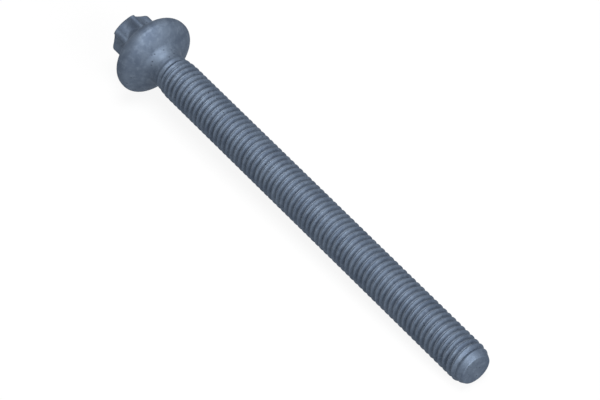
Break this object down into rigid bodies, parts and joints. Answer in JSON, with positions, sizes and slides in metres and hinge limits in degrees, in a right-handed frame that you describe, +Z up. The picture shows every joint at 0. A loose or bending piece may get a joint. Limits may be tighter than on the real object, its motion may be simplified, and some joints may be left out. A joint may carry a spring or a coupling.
{
  "type": "flange screw",
  "caption": "Long metric flange screw with an external lobed drive, a round flange with a domed seat, and a thread that runs almost the whole shank.",
  "frame": {"origin": "lowest middle point of the bounding box of the screw lying at rest", "axes": "+X along the screw towards the tip, tipped down by about 2.6 degrees because the flange is wider than the thread; +Z up"},
  "size_m": [0.1026, 0.016, 0.016],
  "materials": {
    "six_lobe_flange_screw": "matte blue-grey zinc-flake coat"
  },
  "bodies": {
    "root": {"six_lobe_flange_screw": "six_lobe_flange_screw"}
  },
  "joints": []
}
